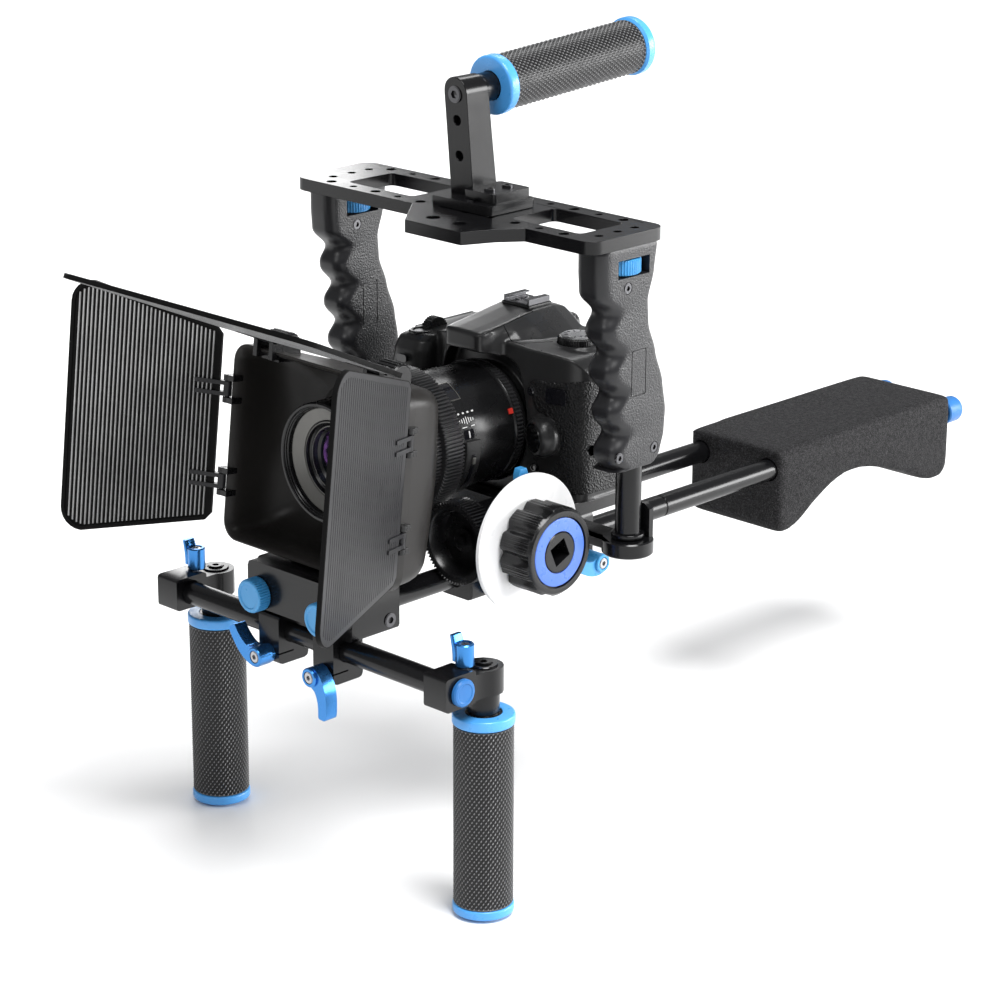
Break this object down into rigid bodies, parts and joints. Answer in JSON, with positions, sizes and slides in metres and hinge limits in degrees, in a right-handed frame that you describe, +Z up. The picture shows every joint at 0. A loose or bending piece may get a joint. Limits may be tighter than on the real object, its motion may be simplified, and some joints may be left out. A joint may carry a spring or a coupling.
{
  "type": "shoulder camera rig",
  "caption": "Shoulder camera rig on parallel rods with front handles, matte box with folding flags, follow focus, camera cage, top handle, still camera and shoulder pad.",
  "frame": {"origin": "tripod point, middle of the underside of the base clamp", "axes": "+Z up, -Y where the lens points, +X the operator's left"},
  "size_m": [0.3085, 0.7052, 0.4965],
  "materials": {
    "black_metal": "satin black anodised aluminium",
    "matte_black_plastic": "matt black moulded plastic",
    "grip_plastic": "black moulded plastic with a fine leather grain",
    "black_plastic": "black moulded plastic",
    "camera_skin": "black plastic with rubber grip panels",
    "rubber": "dark grey dimpled rubber",
    "foam": "black closed-cell foam with a fine texture",
    "blue_plastic": "sky blue plastic",
    "blue_metal": "blue anodised aluminium",
    "white_disc": "white plastic marking disc",
    "steel": "machined steel",
    "glass": "coated lens glass"
  },
  "bodies": {
    "root": {"bar_bracket": "black_metal", "cross_bar": "black_metal", "rod_left": "black_metal", "rod_right": "black_metal", "matte_foot": "black_metal", "focus_housing": "black_metal", "top_plate": "black_metal", "cage_post_left": "black_metal", "cage_post_right": "black_metal", "base_bar": "black_metal", "base_clamp": "black_metal", "camera_plate": "black_metal", "top_arm": "black_metal", "top_grip_core": "black_metal", "matte_box": "matte_black_plastic", "cage_grip_left": "grip_plastic", "cage_grip_right": "grip_plastic", "lens_barrel": "black_plastic", "camera_body": "camera_skin", "top_grip_rubber": "rubber", "rod_cap_left": "blue_plastic", "rod_cap_right": "blue_plastic", "cross_bar_cap_left": "blue_plastic", "cross_bar_cap_right": "blue_plastic", "top_grip_ring": "blue_plastic", "top_grip_cap": "blue_plastic", "front_glass": "glass"},
    "handle_left": {"handle_clamp_left": "black_metal", "handle_core_left": "black_metal", "handle_rubber_left": "rubber", "handle_ring_top_left": "blue_plastic", "handle_ring_bottom_left": "blue_plastic"},
    "handle_right": {"handle_clamp_right": "black_metal", "handle_core_right": "black_metal", "handle_rubber_right": "rubber", "handle_ring_top_right": "blue_plastic", "handle_ring_bottom_right": "blue_plastic"},
    "clamp_lever_left": {"clamp_lever_left": "blue_metal"},
    "clamp_lever_right": {"clamp_lever_right": "blue_metal"},
    "bracket_lever_left": {"bracket_lever_left": "blue_metal"},
    "bracket_lever_right": {"bracket_lever_right": "blue_metal"},
    "rod_knob_left": {"rod_knob_left": "blue_plastic"},
    "rod_knob_right": {"rod_knob_right": "blue_plastic"},
    "flag_left": {"flag_left": "matte_black_plastic"},
    "flag_right": {"flag_right": "matte_black_plastic"},
    "flag_top": {"flag_top": "matte_black_plastic"},
    "focus_knob": {"focus_knob": "black_plastic", "focus_knob_ring": "blue_plastic", "focus_disc": "white_disc"},
    "drive_gear": {"drive_gear": "black_plastic"},
    "focus_ring": {"focus_ring": "rubber"},
    "focus_clamp_knob": {"focus_clamp_knob": "blue_metal"},
    "base_lever": {"base_lever": "blue_metal"},
    "cage_wheel_left": {"cage_wheel_left": "blue_plastic"},
    "cage_wheel_right": {"cage_wheel_right": "blue_plastic"},
    "mode_dial": {"mode_dial": "steel"},
    "shutter_button": {"shutter_button": "steel"},
    "lens_release_button": {"lens_release_button": "black_plastic"},
    "shoulder_pad": {"shoulder_pad": "foam", "pad_core": "matte_black_plastic"}
  },
  "joints": [
    {"name": "handle_swing_left", "type": "hinge", "parent": "root", "child": "handle_left", "pos_m": [-0.12, -0.1755, -0.0111], "axis": [1, 0, 0], "range_deg": [-30, 60]},
    {"name": "clamp_lever_turn_left", "type": "hinge", "parent": "handle_left", "child": "clamp_lever_left", "pos_m": [-0.12, -0.1633, 0.0075], "axis": [0, 0, 1], "range_deg": [-90, 90]},
    {"name": "bracket_lever_turn_left", "type": "hinge", "parent": "root", "child": "bracket_lever_left", "pos_m": [-0.0244, -0.194, -0.0248], "axis": [0, 1, 0], "range_deg": [-60, 40]},
    {"name": "rod_knob_turn_left", "type": "hinge", "parent": "root", "child": "rod_knob_left", "pos_m": [-0.03, -0.194, 0.0125], "axis": [0, 1, 0], "continuous": true},
    {"name": "cage_wheel_turn_left", "type": "hinge", "parent": "root", "child": "cage_wheel_left", "pos_m": [-0.1163, -0.031, 0.2155], "axis": [0, 0, 1], "continuous": true},
    {"name": "handle_swing_right", "type": "hinge", "parent": "root", "child": "handle_right", "pos_m": [0.12, -0.1755, -0.0111], "axis": [1, 0, 0], "range_deg": [-30, 60]},
    {"name": "clamp_lever_turn_right", "type": "hinge", "parent": "handle_right", "child": "clamp_lever_right", "pos_m": [0.12, -0.1633, 0.0075], "axis": [0, 0, 1], "range_deg": [-90, 90]},
    {"name": "bracket_lever_turn_right", "type": "hinge", "parent": "root", "child": "bracket_lever_right", "pos_m": [0.0244, -0.194, -0.0248], "axis": [0, 1, 0], "range_deg": [-40, 60]},
    {"name": "rod_knob_turn_right", "type": "hinge", "parent": "root", "child": "rod_knob_right", "pos_m": [0.03, -0.194, 0.0125], "axis": [0, 1, 0], "continuous": true},
    {"name": "cage_wheel_turn_right", "type": "hinge", "parent": "root", "child": "cage_wheel_right", "pos_m": [0.1163, -0.031, 0.2155], "axis": [0, 0, 1], "continuous": true},
    {"name": "flag_fold_left", "type": "hinge", "parent": "root", "child": "flag_left", "pos_m": [-0.0796, -0.17094, 0.10438], "axis": [0, 0.1149, 0.9934], "range_deg": [-25, 60]},
    {"name": "flag_fold_right", "type": "hinge", "parent": "root", "child": "flag_right", "pos_m": [0.0796, -0.17094, 0.10438], "axis": [0, -0.1149, -0.9934], "range_deg": [-60, 20]},
    {"name": "flag_fold_top", "type": "hinge", "parent": "root", "child": "flag_top", "pos_m": [0, -0.16398, 0.16448], "axis": [-1, 0, 0], "range_deg": [-3, 55]},
    {"name": "focus_knob_turn", "type": "hinge", "parent": "root", "child": "focus_knob", "pos_m": [0.09, -0.069, 0.0425], "axis": [1, 0, 0], "range_deg": [-100, 100]},
    {"name": "drive_gear_turn", "type": "hinge", "parent": "root", "child": "drive_gear", "pos_m": [0.05, -0.096, 0.0425], "axis": [0, 1, 0], "range_deg": [-100, 100]},
    {"name": "focus_ring_turn", "type": "hinge", "parent": "root", "child": "focus_ring", "pos_m": [0, -0.096, 0.0955], "axis": [0, 1, 0], "range_deg": [-60, 60]},
    {"name": "focus_clamp_turn", "type": "hinge", "parent": "root", "child": "focus_clamp_knob", "pos_m": [0.052, -0.062, 0.005], "axis": [1, 0, 0], "continuous": true},
    {"name": "base_lever_turn", "type": "hinge", "parent": "root", "child": "base_lever", "pos_m": [0.053, 0.021, 0.0015], "axis": [1, 0, 0], "range_deg": [-30, 40]},
    {"name": "mode_dial_turn", "type": "hinge", "parent": "root", "child": "mode_dial", "pos_m": [0.051, 0.004, 0.1495], "axis": [0, 0, 1], "continuous": true},
    {"name": "shutter_press", "type": "slide", "parent": "root", "child": "shutter_button", "axis": [0, 0, -1], "range_m": [0, 0.001], "stiffness_N_per_m": 400},
    {"name": "lens_release_press", "type": "slide", "parent": "root", "child": "lens_release_button", "axis": [0, 1, 0], "range_m": [0, 0.0015], "stiffness_N_per_m": 400},
    {"name": "pad_slide", "type": "slide", "parent": "root", "child": "shoulder_pad", "axis": [0, 1, 0], "range_m": [-0.08, 0.002]}
  ],
  "couplings": [
    {"joint": "drive_gear_turn", "follows": "focus_knob_turn", "ratio": 1},
    {"joint": "focus_ring_turn", "follows": "focus_knob_turn", "ratio": -0.56667}
  ]
}
